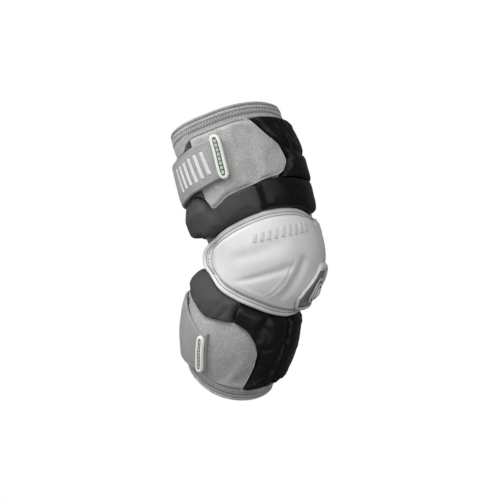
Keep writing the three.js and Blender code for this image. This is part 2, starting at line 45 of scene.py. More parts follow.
# The arm pad's sizes in millimetres, as the frame was built.
UPPER_REACH = 131
LOWER_REACH = 125
UPPER_WIDTH = 111
ELBOW_WIDTH = 100
WRIST_WIDTH = 80
FLATTENING = 0.965
UPPER_LEAN = 15
LOWER_LEAN = 14.6
BEND_RADIUS = 85
RIM_SKEW = 0.21
RIM_DIP = 0.12
LINER_WALL = 3.2
LAYER_GAP = 0.8
EDGE_GAP = 0.7
BAND_HEIGHT = 13
LOWER_BAND_HEIGHT = 9
BAND_DROP = 8                  # how much further the upper band comes down in the crook
BAND_WALL = 2.2
PANEL_WALL = 6.4
PANEL_FILL = PANEL_WALL - 1.2   # the padded pieces start thinner, and the filling lifts them
BLOCK_WALL = 11
BLOCK_FILL = BLOCK_WALL - 1.4
STRAP_WALL = 2.4
HEM = 3.2                      # how far in from their edge the straps and bands are sewn
TAB_LENGTH = 42
TAB_WIDTH = 10
LOWER_TAB_LENGTH = 36
LOWER_TAB_WIDTH = 8.6
FLANGE_WALL = 5.2
FLANGE_WIDTH = 8.5
FLANGE_TAIL = 25
TAIL_LIFT = 4
OUTER_SEAM = 4.05              # how far in from the cap's edge its seams lie
INNER_SEAM = 6.9
DOME_STEP = 3.6
DOME_RISE = 16
FRAME_WIDTH = 62
FRAME_LENGTH = 37.5
FRAME_BAR = 4
MEDALLION_DIAMETER = 24


def mix(a, b, t):
    return a + (b - a) * t


def clamp(t):
    return min(1.0, max(0.0, t))


def rounded(t):
    return math.sqrt(1 - (1 - clamp(t)) ** 2)


def smooth(t):
    t = clamp(t)
    return t * t * (3 - 2 * t)


def hump(x, middle, width):
    """1 at the middle, falling to nothing about two widths away."""
    return math.exp(-((x - middle) / width) ** 2)


def read(table, x, column=1):
    """Smooth value of one column of a table at x; the first column holds x in rising order."""
    last = len(table) - 1
    if x <= table[0][0]:
        return table[0][column]
    if x >= table[last][0]:
        return table[last][column]
    i = 0
    while table[i + 1][0] < x:
        i += 1

    def slope(j):
        before, after = table[max(j - 1, 0)], table[min(j + 1, last)]
        return (after[column] - before[column]) / (after[0] - before[0])

    span = table[i + 1][0] - table[i][0]
    t = (x - table[i][0]) / span
    t2, t3 = t * t, t ** 3
    return ((2 * t3 - 3 * t2 + 1) * table[i][column] + (t3 - 2 * t2 + t) * span * slope(i)
            + (3 * t2 - 2 * t3) * table[i + 1][column] + (t3 - t2) * span * slope(i + 1))


# The sleeve that every piece is wrapped on.
# Columns: share of the reach, negative below the elbow; width; shift to the elbow side, share of its width.
SECTIONS = [
    (-1.05, WRIST_WIDTH * 1.00, -0.030),
    (-0.96, WRIST_WIDTH * 1.05, -0.035),
    (-0.84, WRIST_WIDTH * 1.12, -0.038),
    (-0.64, WRIST_WIDTH * 1.25, -0.062),
    (-0.40, ELBOW_WIDTH * 1.00, -0.08),
    (-0.16, ELBOW_WIDTH * 0.98, -0.03),
    (0.00, ELBOW_WIDTH * 1.00, -0.005),
    (0.15, ELBOW_WIDTH * 1.01, 0.00),
    (0.34, UPPER_WIDTH * 0.955, -0.005),
    (0.53, UPPER_WIDTH * 1.00, -0.02),
    (0.76, UPPER_WIDTH * 1.00, -0.022),
    (1.01, UPPER_WIDTH * 0.98, -0.05),
    (1.16, UPPER_WIDTH * 0.97, -0.05),
]
BEND = (UPPER_LEAN + LOWER_LEAN) * RAD
MIDDLE = (UPPER_LEAN - LOWER_LEAN) * RAD / 2
HALF_ARC = BEND_RADIUS * BEND / 2


def reach_share(s):
    return s / (LOWER_REACH if s < 0 else UPPER_REACH)


def half_width(s):
    return read(SECTIONS, reach_share(s), 1) / 2


def across_arm(angle):
    return Vector((math.cos(angle), 0, math.sin(angle)))


def along_arm(angle):
    return Vector((-math.sin(angle), 0, math.cos(angle)))


def place(turn, s, height):
    """The point at a turn round the arm, s along it and a height off the liner, in metres.
    The turn is in degrees: 0 on the elbow side, 90 on the outer side, 180 in the crook."""
    half = half_width(s)
    depth = half * FLATTENING
    shift = read(SECTIONS, reach_share(s), 2) * ELBOW_WIDTH
    c, k = math.cos(turn * RAD), math.sin(turn * RAD)
    nx, ny = c / half, k / depth
    size = math.hypot(nx, ny)
    out = shift + half * c + height * nx / size
    side = depth * k + height * ny / size
    slip = (RIM_SKEW * side - RIM_DIP * out) * reach_share(s)
    on_arc = max(-HALF_ARC, min(HALF_ARC, s))
    angle = MIDDLE + on_arc / BEND_RADIUS
    point = (across_arm(MIDDLE) * -BEND_RADIUS + across_arm(angle) * (BEND_RADIUS + out)
             + along_arm(angle) * (s - on_arc + slip) + Vector((0, -side, 0)))
    return point * MM


def up_at(turn, s, height):
    return (place(turn, s, height + 1) - place(turn, s, height)).normalized()


def fold(turn):
    """Turn from the elbow side, 0 to 180 degrees, the same on both sides of the arm."""
    return abs((turn + 180) % 360 - 180)


# Tables of the layout, as in the frame. The turn is the same on both sides of the arm.
# Columns: turn; upper rim, lower rim, shares of the reach.
RIMS = [
    (0, 1.105, -1.045), (35, 1.065, -1.045), (62, 1.02, -1.03), (90, 0.975, -0.995),
    (120, 0.955, -0.935), (150, 0.955, -0.885), (180, 0.96, -0.875),
]
# Columns: turn; lower and upper edge of the grey side panel, shares of the reach.
UPPER_PANEL = [
    (23.5, 0.63, 0.655), (29, 0.565, 0.765), (36, 0.530, 0.805), (42, 0.518, 0.855),
    (50, 0.505, 0.925), (62, 0.475, 0.955), (76, 0.450, 0.935), (90, 0.425, 0.910),
    (100, 0.390, 0.895), (109, 0.376, 0.885), (112.5, 0.440, 0.880),
]
LOWER_PANEL = [
    (49.5, -0.770, -0.670), (52, -0.850, -0.605), (57, -0.975, -0.555), (66, -0.975, -0.490),
    (74, -0.965, -0.466), (90, -0.925, -0.462), (107, -0.885, -0.462), (125, -0.860, -0.415),
    (150, -0.840, -0.345),
]
UPPER_PANEL_SPAN = (UPPER_PANEL[0][0], UPPER_PANEL[-1][0])
LOWER_PANEL_SPAN = (LOWER_PANEL[0][0], LOWER_PANEL[-1][0])
# Columns: turn; lower edge of the pad at the crook, share of the upper reach.
UPPER_CROOK = [(112.5, 0.44), (122, 0.475), (180, 0.48)]
# Columns: turn; lower and upper edge of the elbow cap, shares of the reach; dome, share of its rise.
CAP = [
    (0, -0.372, 0.220, 0.92), (12, -0.375, 0.250, 0.93), (24, -0.376, 0.272, 0.96),
    (45, -0.355, 0.285, 0.98), (62, -0.328, 0.280, 0.95), (83, -0.298, 0.255, 0.86),
    (105, -0.258, 0.220, 0.70), (122, -0.200, 0.183, 0.56), (138, -0.140, 0.140, 0.50),
    (150, -0.085, 0.085, 0.50),
]
CAP_END = CAP[-1][0]
# Columns: turn; lower edge of the roll past the cap, share of the upper reach.
ROLL_BACK = [(108, 0), (123, 0.19), (146, 0.22), (180, 0.25)]
# Columns: turn; upper edge of the collar past the cap, share of the lower reach.
COLLAR_BACK = [(112, 0), (128, -0.15), (143, -0.18), (180, -0.20)]
# Columns: share of the way up; turn of the block's side edge.
MIDDLE_BLOCK_SIDES = [(0, 36), (0.18, 31), (0.4, 26), (0.62, 21.5), (0.8, 20.5), (1, 21.5)]
TOP_BLOCK_SIDES = [(0, 24), (0.2, 29), (0.45, 37.5), (0.75, 44.5), (1, 49.5)]
FOREARM_SIDE = [
    (0, 54.5), (0.2, 49.5), (0.35, 47.2), (0.5, 47.7), (0.63, 55), (0.745, 65), (0.775, 73),
    (0.80, 78.3), (1, 78.3),
]
# Columns: turn; lower and upper edge of the strap, shares of the reach.
UPPER_STRAP = [
    (79.5, 0.545, 0.805), (97, 0.525, 0.795), (109, 0.505, 0.785), (122, 0.495, 0.765),
    (140, 0.475, 0.755), (180, 0.470, 0.750),
]
LOWER_STRAP = [
    (99.5, -0.850, -0.560), (109, -0.850, -0.575), (120, -0.845, -0.530), (133, -0.840, -0.480),
    (152, -0.830, -0.410), (180, -0.830, -0.390),
]
BLOCK_SPLIT = 1.2
CROOK_END = 177
COLLAR_FRONT = 79.5
FOREARM_SPLIT = 18.5
MIDDLE_SEAM = UPPER_REACH * 0.72
STRAP_SEAT = LAYER_GAP + PANEL_WALL + LAYER_GAP
TAB_SEAT = STRAP_SEAT + STRAP_WALL + LAYER_GAP
UPPER_TAB = (84.6, UPPER_REACH * 0.672)
LOWER_TAB = (104.6, LOWER_REACH * -0.716)
FRAME_AT = (0, LOWER_REACH * -0.174)


def edge_of(table, reach, column=1):
    """An edge as a function of the turn, from one column of a table of shares of the reach."""
    return lambda turn: reach * read(table, fold(turn), column)


upper_rim, lower_rim = edge_of(RIMS, UPPER_REACH), edge_of(RIMS, LOWER_REACH, 2)
upper_panel_low, lower_panel_high = edge_of(UPPER_PANEL, UPPER_REACH), edge_of(LOWER_PANEL, LOWER_REACH, 2)
crook_low = edge_of(UPPER_CROOK, UPPER_REACH)
cap_low, cap_high = edge_of(CAP, LOWER_REACH), edge_of(CAP, UPPER_REACH, 2)
roll_back, collar_back = edge_of(ROLL_BACK, UPPER_REACH), edge_of(COLLAR_BACK, LOWER_REACH)


def upper_band_height(turn):
    return BAND_HEIGHT + BAND_DROP * smooth((fold(turn) - 112) / 16)


def lower_band_height(turn):
    """A little taller over the front, as on the photograph."""
    return LOWER_BAND_HEIGHT + 2.2 * smooth((50 - fold(turn)) / 25)


def under_upper_band(turn):
    return upper_rim(turn) - upper_band_height(turn) - EDGE_GAP


def over_lower_band(turn):
    return lower_rim(turn) + lower_band_height(turn) + EDGE_GAP


def upper_panel_high(turn):
    return min(UPPER_REACH * read(UPPER_PANEL, fold(turn), 2), under_upper_band(turn))


def lower_panel_low(turn):
    return max(LOWER_REACH * read(LOWER_PANEL, fold(turn)), over_lower_band(turn))


def upper_pads_low(turn):
    return (crook_low if fold(turn) > UPPER_PANEL_SPAN[1] else upper_panel_low)(turn)


def roll_top(turn):
    return min(UPPER_REACH * 0.505, upper_pads_low(turn - 2), upper_pads_low(turn),
               upper_pads_low(turn + 2)) - EDGE_GAP


def roll_low(turn):
    return max(cap_high(turn) + EDGE_GAP, roll_back(turn))


def collar_top(turn):
    return min(cap_low(turn) - EDGE_GAP, collar_back(turn))


def collar_low(turn):
    return lower_panel_high(turn) + EDGE_GAP


def to_line(line, turn, s):
    """Millimetres from (turn, s) to a line of (turn, s) points, above it or to its left when positive,
    and how far along the line that is, from 0 to 1. It is the same on both sides of the arm."""
    x, y = fold(turn) * RAD * 60, s
    best, where = 1e9, 0
    for i in range(len(line) - 1):
        ax, ay = line[i][0] * RAD * 60, line[i][1]
        dx, dy = line[i + 1][0] * RAD * 60 - ax, line[i + 1][1] - ay
        t = clamp(((x - ax) * dx + (y - ay) * dy) / (dx * dx + dy * dy))
        gx, gy = x - ax - t * dx, y - ay - t * dy
        gap = math.hypot(gx, gy)
        if gap < abs(best):
            best = math.copysign(gap, dx * gy - dy * gx)
            where = (i + t) / (len(line) - 1)
    return best, where


def groove(line, turn, s, width, fade=0.15):
    """1 in the middle of a line on the sleeve, 0 away from it and at the line's two ends."""
    gap, where = to_line(line, turn, s)
    ends = smooth(where / fade) * smooth((1 - where) / fade) if fade else 1
    return hump(gap, 0, width) * ends


def crumple(turn, s, scale, seed=0):
    """Smooth noise of about -1 to 1 on the sleeve; scale is the size of a fold in millimetres."""
    return noise.noise(Vector((turn * RAD * 55 / scale, s / scale, seed * 7.3)))


# Materials. Patterns read Object coordinates or the map "cloth", whose unit is one centimetre.
def plug(tree, target, links):
    """Links other nodes' outputs, given as (node, output), into a node's sockets."""
    for socket, (source, output) in links.items():
        tree.links.new(source.outputs[output], target.inputs[socket])


def fill_in(target, values):
    for socket, value in values.items():
        target.inputs[socket].default_value = value


def node(tree, kind, values=None, links=None):
    made = tree.nodes.new("ShaderNode" + kind)
    fill_in(made, values or {})
    plug(tree, made, links or {})
    return made


def shader(name, values):
    made = bpy.data.materials.new(name)
    made.use_nodes = True
    surface = made.node_tree.nodes["Principled BSDF"]
    fill_in(surface, values)
    return made, made.node_tree, surface


def noise_pattern(tree, scale, detail):
    return node(tree, "TexNoise", {"Scale": scale, "Detail": detail, "Roughness": 0.6},
                {"Vector": (node(tree, "TexCoord"), "Object")})


def tone(value, warm=0.0):
    """A colour from a grey between 0 and 1, which may be a little warm."""
    return value if isinstance(value, tuple) else (value * (1 + warm), value, value * (1 - warm))


def dress(tree, surface, pattern, stops, tones, relief):
    """Gives a surface two tones, mixed by a pattern between two stops, and a relief."""
    made = node(tree, "ValToRGB", links={"Fac": pattern})
    for stop, at, colour in zip(made.color_ramp.elements, stops, tones):
        stop.position = at
        stop.color = (*colour, 1)
    plug(tree, surface, {"Base Color": (made, "Color"), "Normal": (relief, "Normal")})


def bump(tree, strength, depth, links):
    return node(tree, "Bump", {"Strength": strength, "Distance": depth}, links)


def cloth(name, dark, light, roughness, weave, weave_strength, warm=0.0, sheen=0.0, specular=0.3):
    """Cloth with mottled colour and a knitted or woven surface, weave threads to a centimetre."""
    made, tree, surface = shader(name, {"Roughness": roughness, "Specular IOR Level": specular,
                                        "Sheen Weight": sheen, "Sheen Roughness": 0.5})
    fine, broad = noise_pattern(tree, 700, 2), noise_pattern(tree, 70, 3)
    mottle = node(tree, "Mix", {0: 0.25}, {2: (fine, "Fac"), 3: (broad, "Fac")})
    flat = node(tree, "UVMap")
    flat.uv_map = "cloth"
    knit = node(tree, "Math")
    knit.operation = "MULTIPLY"
    for i, direction in enumerate("XY"):
        wave = node(tree, "TexWave", {"Scale": weave / 2, "Distortion": 0.6}, {"Vector": (flat, "UV")})
        wave.bands_direction = direction
        plug(tree, knit, {i: (wave, "Fac")})
    grain = bump(tree, weave_strength, 0.0003, {"Height": (knit, "Value")})
    rough = bump(tree, 0.25, 0.0004, {"Height": (fine, "Fac"), "Normal": (grain, "Normal")})
    dress(tree, surface, (mottle, "Result"), (0.36, 0.66), (tone(dark, warm), tone(light, warm)), rough)
    return made


def moulded(name, dark, light, roughness, grain=0.12):
    """Smooth moulded rubber or plastic with a fine satin grain."""
    made, tree, surface = shader(name, {"Roughness": roughness})
    satin = bump(tree, grain, 0.0002, {"Height": (noise_pattern(tree, 1600, 1), "Fac")})
    dress(tree, surface, (noise_pattern(tree, 45, 2), "Fac"), (0.3, 0.7), (tone(dark), tone(light)), satin)
    return made


KNIT = cloth("grey_knit", 0.34, 0.55, 0.9, 11, 0.6, warm=0.01, sheen=0.25)
# A darker copy of the grey knit for the lower side panels: painted shade, as less light falls on the lower
# arm.
SHADED_LOWER_KNIT = cloth("grey_knit_lower_painted_shade", 0.28, 0.47, 0.9, 11, 0.6, warm=0.01, sheen=0.15)
BAND_KNIT = cloth("band_knit", 0.34, 0.56, 0.9, 8, 1.0, warm=0.01, sheen=0.25)
BAND_SHADE = cloth("band_shade", 0.17, 0.26, 0.9, 8, 1.0, warm=0.01, sheen=0.1)
LINER_KNIT = cloth("liner_knit", 0.36, 0.48, 0.95, 8, 0.8, sheen=0.2)
STRAP_WEB = cloth("strap_webbing", 0.31, 0.43, 0.85, 6, 1.0, warm=0.015, sheen=0.1)
# A darker copy of the strap webbing for the lower strap: painted shade, as less light falls on the lower arm.
SHADED_LOWER_WEB = cloth("lower_strap_webbing_painted_shade", 0.26, 0.37, 0.85, 6, 1.0, warm=0.01, sheen=0.1)
COATED = cloth("coated_black_cloth", 0.003, 0.006, 0.36, 14, 0.2, specular=0.22)
CHARCOAL = cloth("smooth_charcoal_cloth", 0.050, 0.062, 0.7, 14, 0.12, specular=0.25)
EDGE_TAPE = cloth("edge_tape", 0.50, 0.66, 0.8, 10, 0.8, sheen=0.2)
SATIN = moulded("satin_silver", 0.66, 0.72, 0.42)
FLANGE_SATIN = moulded("satin_silver_flange", 0.60, 0.74, 0.5, grain=0.4)
BAR_SATIN = moulded("satin_silver_bars", 0.56, 0.62, 0.45)
FRAME_SATIN = moulded("satin_silver_frame", 0.66, 0.72, 0.40)
# Painted shade: a darker satin for the recess inside the frame, where shade falls.
RECESS_SHADE_SATIN = moulded("satin_recess_painted_shade", 0.22, 0.27, 0.5)
TAB_RUBBER = moulded("tab_rubber", (0.72, 0.74, 0.70), (0.78, 0.80, 0.76), 0.45)
INLAY = moulded("tab_inlay", 0.025, 0.04, 0.5)
INLAY_BARS = moulded("tab_inlay_bars", (0.42, 0.50, 0.40), (0.48, 0.56, 0.46), 0.5)
THREAD = moulded("sewing_thread", 0.34, 0.42, 0.7)
BAND_THREAD = moulded("band_thread", 0.44, 0.56, 0.7)
# Dark thread for the cap's seams and stitches, also used for dark rings in the medallion's grooves, which are
# painted shade.
DARK_THREAD_AND_GROOVE_SHADE = moulded("dark_thread_and_groove_shade", 0.05, 0.08, 0.7)
PRINT = moulded("strap_print", 0.92, 0.96, 0.6)


# Builders
PAD_RADIUS = 50                # millimetres, turns a turn into a length on the map "cloth"


def paint_map(bm, spots):
    """Gives each corner its place on the map, from the (turn, s) of its vertex."""
    bm.verts.index_update()
    layer = bm.loops.layers.uv.new("cloth")
    for face in bm.faces:
        face.smooth = True
        turns = [spots[loop.vert.index][0] for loop in face.loops]
        high = max(turns)
        for loop in face.loops:
            turn, s = spots[loop.vert.index]
            if high - turn > 180:
                turn += 360
            loop[layer].uv = (turn * RAD * PAD_RADIUS * 0.1, s * 0.1)


def add_object(name, data):
    made = bpy.data.objects.new(name, data)
    bpy.context.scene.collection.objects.link(made)
    return made


def add_piece(name, bm, material, slot, nodes=(), sharp=0):
    """A finished piece that stands for the named nodes."""
    if name in nodes:
        name += "_finish"
    bmesh.ops.recalc_face_normals(bm, faces=bm.faces)
    mesh = bpy.data.meshes.new(name)
    bm.to_mesh(mesh)
    bm.free()
    if sharp:
        mesh.set_sharp_from_angle(angle=sharp * RAD)
    mesh.materials.append(material)
    piece = add_object(name, mesh)
    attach(piece, BODY)
    if nodes:
        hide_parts(*nodes)
    return piece


def crowd(t, amount=0.6):
    """Even steps drawn towards both ends."""
    return mix(t, (1 - math.cos(math.pi * t)) / 2, amount)


def wrapped(name, spot, under, over, columns, rows, crowding=0.6, **finish):
    """A closed piece wrapped on the arm, from the heights of its two faces at (turn, s, u, v)."""
    bm = bmesh.new()
    bmesh.ops.create_grid(bm, x_segments=columns, y_segments=rows, size=0.5)
    made = bmesh.ops.extrude_face_region(bm, geom=bm.faces[:], use_keep_orig=True)
    outer = {v for v in made["geom"] if isinstance(v, bmesh.types.BMVert)}
    spots = []
    for vert in bm.verts:
        u, v = (crowd(clamp(share + 0.5), crowding) for share in vert.co.xy)
        turn, s = spot(u, v)
        vert.co = place(turn, s, (over if vert in outer else under)(turn, s, u, v))
        spots.append((turn, s))
    paint_map(bm, spots)
    return add_piece(name, bm, **finish)


def turned(name, around, along, spot, **finish):
    """A closed piece from rings: spot(i, j) is ring j's point i as (turn, s, height), or a place and a
    (turn, s). Rings that meet in a point close an end, and a last ring on the first closes a loop."""
    bm = bmesh.new()
    bmesh.ops.create_grid(bm, x_segments=around, y_segments=along, size=0.5)
    spots = []
    for vert in bm.verts:
        i, j = round((vert.co.x + 0.5) * around), round((vert.co.y + 0.5) * along)
        at, mark = spot(i % around, j)
        vert.co = at
        spots.append(mark if i < around or mark[0] > 0 else (360, mark[1]))
    paint_map(bm, spots)
    bmesh.ops.remove_doubles(bm, verts=bm.verts, dist=2e-6)
    bmesh.ops.dissolve_degenerate(bm, edges=bm.edges, dist=1e-7)
    return add_piece(name, bm, **finish)


def ring(name, edge, section, ripple=None, stretch=lambda _: 1, around=180, **finish):
    """A ring round the arm from a closed section of (offset along, height) corners at edge(turn).
    stretch(turn) lengthens the section."""
    def spot(i, j):
        turn = 360 * i / around
        offset, height = section[j % len(section)]
        s = edge(turn) + offset * stretch(turn)
        lift = ripple(turn, s) if ripple and height > 0 else 0
        return place(turn, s, height + lift), (turn, s)
    return turned(name, around, len(section), spot, **finish)


def recolour(piece, material, chosen):
    """Gives the faces whose corners' (turn, s) are all chosen a second material."""
    mesh = piece.data
    mesh.materials.append(material)
    spots = [(at.uv[0] / (RAD * PAD_RADIUS * 0.1), at.uv[1] * 10) for at in mesh.uv_layers["cloth"].data]
    for face in mesh.polygons:
        if all(chosen(*spots[i]) for i in face.loop_indices):
            face.material_index = 1


def cord_on(name, path, half_width_mm, half_height_mm, sides=8, **finish):
    """A flat cord laid on the sleeve along (turn, s, height) points, closed at both ends."""
    middles = [place(*p) for p in path]
    ups = [up_at(*p) for p in path]
    last = len(path) - 1

    def spot(i, j):
        tangent = (middles[min(j + 1, last)] - middles[max(j - 1, 0)]).normalized()
        side = tangent.cross(ups[j]).normalized()
        size = 0 if j in (0, last) else 1
        angle = 2 * math.pi * i / sides
        at = middles[j] + size * MM * (side * half_width_mm * math.cos(angle)
                                       + ups[j] * half_height_mm * math.sin(angle))
        return at, (i / sides, j * 0.2)
    return turned(name, sides, last, spot, **finish)


def placed(start, end, width, height):
    """Matrix that lays a unit solid from one (turn, s, height) point to another."""
    a, b = place(*start), place(*end)
    along = b - a
    side = up_at(*start).cross(along).normalized()
    turn = Matrix((along.normalized(), side, along.cross(side).normalized())).transposed().to_4x4()
    size = Matrix.Diagonal((along.length, width * MM, height * MM, 1))
    return Matrix.Translation((a + b) / 2) @ turn @ size


def stitches(name, ends, width, height, material, slot, bevel=0):
    """One mesh of small rounded stitches between pairs of (turn, s, height) ends, or of bevelled bars."""
    bm = bmesh.new()
    for start, end in ends:
        matrix = placed(start, end, width, height)
        if bevel:
            bmesh.ops.create_cube(bm, size=1, matrix=matrix)
        else:
            bmesh.ops.create_icosphere(bm, subdivisions=1, radius=0.5, matrix=matrix)
    if bevel:
        bmesh.ops.bevel(bm, geom=bm.edges[:], offset=bevel * MM, segments=2, profile=0.5, affect="EDGES",
                        material=-1)
    paint_map(bm, [(0, 0)] * len(bm.verts))
    return add_piece(name, bm, material, slot, sharp=60 if bevel else 0)


def walk(path, steps):
    """Points along a path of (turn, s, height) points, one after each step in millimetres."""
    at = next(steps)
    for p, q in zip(path, path[1:]):
        length = (place(*q) - place(*p)).length / MM
        while at < length:
            yield tuple(mix(x, y, at / length) for x, y in zip(p, q))
            at += next(steps)
        at -= length


def stitch_row(path, pitch, gap=0.28, lift=0.1):
    """Ends of straight stitches along a path."""
    points = [(turn, s, height + lift)
              for turn, s, height in walk(path, cycle((pitch * gap, pitch * (1 - gap))))]
    return list(zip(points[::2], points[1::2]))


def zigzag(path, low, high, pitch):
    """Ends of zigzag stitches between two offsets from a path."""
    corners = [(turn, s + (low if i % 2 else high), height)
               for i, (turn, s, height) in enumerate(walk(path, chain([0], repeat(pitch / 2))))]
    return list(zip(corners, corners[1:]))


def at_place(edge, x):
    """The value of an edge that is given as a plain value or as a function."""
    return edge(x) if callable(edge) else edge


def between(start, end, low, high):
    """Outline of a piece: its two sides are turns, or functions of the share of its height."""
    def spot(u, v):
        turn = mix(at_place(start, v), at_place(end, v), u)
        return turn, mix(low(turn), high(turn), v)
    return spot


# Padded pieces: sewn down at their edges and filled inside. Their cloth is simulated together.
waiting = []
FILLING_FRAMES = 20

SEWN = (8, 0.12)               # softness of an edge in millimetres, and its height as a share of the wall
PANEL_EDGE = (4.5, 0.62)
SEAM = (5, 0.85)
JOINED = (4.5, 0.5)
FOLDED = (6, 0.62)


def pad(name, spot, wall, edges, material, slot, columns, rows, relief, nodes=(),
        fill=0.7, slack=0.03, swell=1.0):
    """A padded piece. edges holds the softness and height of its left, right, lower and upper edge, or
    functions of the turn that give them. slack and swell say how much its cloth grows and may move."""
    pins = []

    def under(turn, s, u, v):
        pins.append(1)
        return LAYER_GAP

    def over(turn, s, u, v):
        arc = abs(spot(1, v)[0] - spot(0, v)[0]) * RAD * half_width(s)
        tall = spot(u, 1)[1] - spot(u, 0)[1]
        share, held = 1, 1
        for edge, away in zip(edges, (u * arc, (1 - u) * arc, v * tall, (1 - v) * tall)):
            softness, low = at_place(edge, turn)
            rise = rounded(away / softness)
            share *= mix(low, 1, rise)
            held *= rise
        pins.append(1 - smooth((held - 0.25) / 0.5))
        return LAYER_GAP + wall * share + relief(turn, s) * smooth(held * 1.2)

    piece = wrapped(name, spot, under, over, columns, rows, material=material, slot=slot,
                    nodes=nodes or (name,))
    waiting.append((piece, pins, slack, swell))
    return piece


FILLING = {
    "quality": 5, "mass": 0.3, "tension_stiffness": 15, "compression_stiffness": 15, "shear_stiffness": 5,
    "bending_stiffness": 0.3, "vertex_group_mass": "sewn", "use_pressure": True, "uniform_pressure_force": 4,
}


def add_filling(piece, pins, slack):
    """Cloth simulation under a little pressure, held where the piece is sewn down."""
    group = piece.vertex_groups.new(name="sewn")
    for i, weight in enumerate(pins):
        group.add([i], weight, "REPLACE")
    filling = piece.modifiers.new("filling", "CLOTH")
    for setting, value in FILLING.items():
        setattr(filling.settings, setting, value)
    filling.settings.shrink_min = -slack
    filling.settings.effector_weights.gravity = 0
    filling.point_cache.frame_start = 1
    filling.point_cache.frame_end = FILLING_FRAMES


def simulate():
    """Fills the padded pieces, so that their cloth draws its own folds. Each point moves a millimetre
    at most."""
    for piece, pins, slack, _ in waiting:
        add_filling(piece, pins, slack)
    for step in range(1, FILLING_FRAMES + 1):
        bpy.context.scene.frame_set(step)
    graph = bpy.context.evaluated_depsgraph_get()
    moved = [[tuple(v.co) for v in row[0].evaluated_get(graph).data.vertices] for row in waiting]
    for (piece, _, _, swell), spots in zip(waiting, moved):
        for vert, at in zip(piece.data.vertices, spots):
            step = Vector(at) - vert.co
            if step.length > swell * MM:
                step *= swell * MM / step.length
            vert.co += step
        piece.modifiers.remove(piece.modifiers["filling"])
        piece.vertex_groups.clear()
    bpy.context.scene.frame_set(1)
    for piece, _, _, _ in waiting:
        finer = piece.modifiers.new("finer", "SUBSURF")
        finer.levels = finer.render_levels = 1


SIDES = (("lateral", 1), ("medial", -1))


# Sleeve, bands and rims
def liner():
    """The stretch sleeve in one piece, gathered a little in the crook."""
    around, levels = 120, 84

    def spot(i, j):
        turn = 360 * i / around
        j = j % (2 * levels + 2)
        inner = j > levels
        v = (2 * levels + 1 - j if inner else j) / levels
        s = mix(lower_rim(turn), upper_rim(turn), v)
        crook = smooth((fold(turn) - 118) / 30) * hump(s, 0, 22)
        gather = crook * (1.1 * math.sin(s * 0.75 + 1.6 * crumple(turn, s, 26)) + 0.5 * crumple(turn, s, 6))
        return place(turn, s, gather - 0.1 - (LINER_WALL - 0.1 if inner else 0)), (turn, s)

    piece = turned("liner", around, 2 * levels + 2, spot, material=LINER_KNIT, slot="liner", sharp=50,
                   nodes=("upper_arm_liner", "elbow_liner", "forearm_liner"))


def band_section(sign, tall):
    """Section of a flat band with rounded edges and a sewn hem, as (offset, height) corners."""
    section = [(sign * tall, LAYER_GAP)]
    for i in range(19):
        share = crowd(i / 18, 0.8)
        offset = mix(sign * tall, sign * 0.1, share)
        edge = min(share, 1 - share) * (tall - 0.1)
        rise = BAND_WALL * mix(0.35, 1, rounded(edge / 1.3)) - 0.4 * hump(abs(offset), tall - HEM, 0.8)
        section.append((offset, LAYER_GAP + rise))
    return section + [(sign * 0.1, LAYER_GAP)]


def bands():
    high = LAYER_GAP + BAND_WALL
    turns = range(0, 361, 3)

    def ripple(turn, s):
        return 0.3 * crumple(turn, s, 18) + 0.15 * crumple(turn, s, 5, 2)

    for name, edge, sign, tall, height_at in (
            ("upper_band", upper_rim, -1, BAND_HEIGHT, upper_band_height),
            ("lower_band", lower_rim, 1, LOWER_BAND_HEIGHT, lower_band_height)):
        band = ring(name, edge, band_section(sign, tall), ripple, lambda turn: height_at(turn) / tall,
                    material=BAND_KNIT, slot="band", nodes=(name,))
        binding = [(-sign * (1.8 + 1.65 * math.cos(a)), 0.1 + 2.9 * math.sin(a))
                   for a in (2 * math.pi * i / 16 for i in range(16))]
        bound = name.replace("band", "rim_binding")
        ring(bound, edge, binding, material=BAND_KNIT, slot="band", nodes=(bound,))
        share = tall / BAND_HEIGHT
        path = [(turn, edge(turn), high - 0.1 + ripple(turn, edge(turn) + sign * 5)) for turn in turns]
        stitches(f"{name}_stitching", zigzag(path, sign * 3.4, sign * (7.2 * share + 1), 3.2), 0.85, 0.8,
                 BAND_THREAD, "band")
        recolour(band, BAND_SHADE, lambda turn, s: 2.4 < sign * (s - edge(turn)) < 8.4 * share + 0.6)
        path = [(turn, edge(turn) + sign * (tall - HEM) * height_at(turn) / tall, high - 0.2)
                for turn in turns]
        stitches(f"{name}_hem", stitch_row(path, 2.4), 0.55, 0.4, THREAD, "band")


# Grey side panels and their edge tape
def upper_panel_relief(turn, s):
    f = fold(turn) + (s - 90) * 0.12
    folds = 1.3 * hump(f, 70, 8) - 0.9 * hump(f, 57, 6) + 0.5 * hump(f, 48, 6)
    return folds * smooth((s - 52) / 30) + 0.5 * crumple(turn, s, 22)


def lower_panel_relief(turn, s):
    return (0.7 * hump(fold(turn), 96, 7) * smooth((s + 112) / 20) - 0.6 * hump(fold(turn), 84, 6)
            + 0.6 * crumple(turn, s, 20, 3))


TAPE_HEIGHT = LAYER_GAP + PANEL_FILL * 0.62 + 0.7


def edge_path(spot, stops, height, count=26):
    """Points along a piece's outline through the given (u, v) corners."""
    path = []
    for (u0, v0), (u1, v1) in zip(stops, stops[1:]):
        for i in range(count + 1):
            u, v = mix(u0, u1, i / count), mix(v0, v1, i / count)
            turn, s = spot(u, v)
            if not path or (place(turn, s, height) - place(*path[-1])).length > 1.2 * MM:
                path.append((turn, s, height))
    return path


